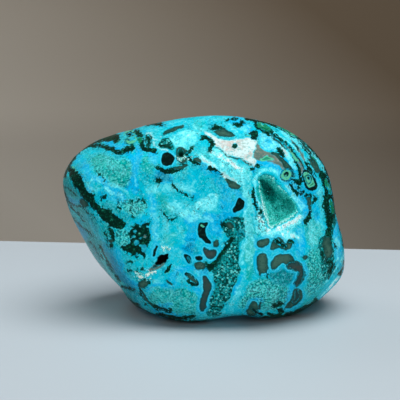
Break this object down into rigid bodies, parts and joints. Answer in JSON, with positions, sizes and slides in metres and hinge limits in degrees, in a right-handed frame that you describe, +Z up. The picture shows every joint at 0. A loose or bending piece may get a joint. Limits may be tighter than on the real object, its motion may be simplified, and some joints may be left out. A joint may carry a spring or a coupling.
{
  "type": "chrysocolla specimen",
  "caption": "Free-form polished chrysocolla and malachite stone, a rounded boulder shape with a crystal-lined pocket, resting on its own flat foot.",
  "frame": {"origin": "middle of the stone's box at the plane it rests on", "axes": "+Z up from the flat foot, +X along the length from the pointed nose to the blunt end, the broad display face looks to -Y"},
  "size_m": [0.0986, 0.0619, 0.0683],
  "materials": {
    "chrysocolla": "polished, mottled sky blue, teal and black-green, with white quartz seams and a druzy pocket"
  },
  "bodies": {
    "root": {"stone": "chrysocolla"}
  },
  "joints": []
}
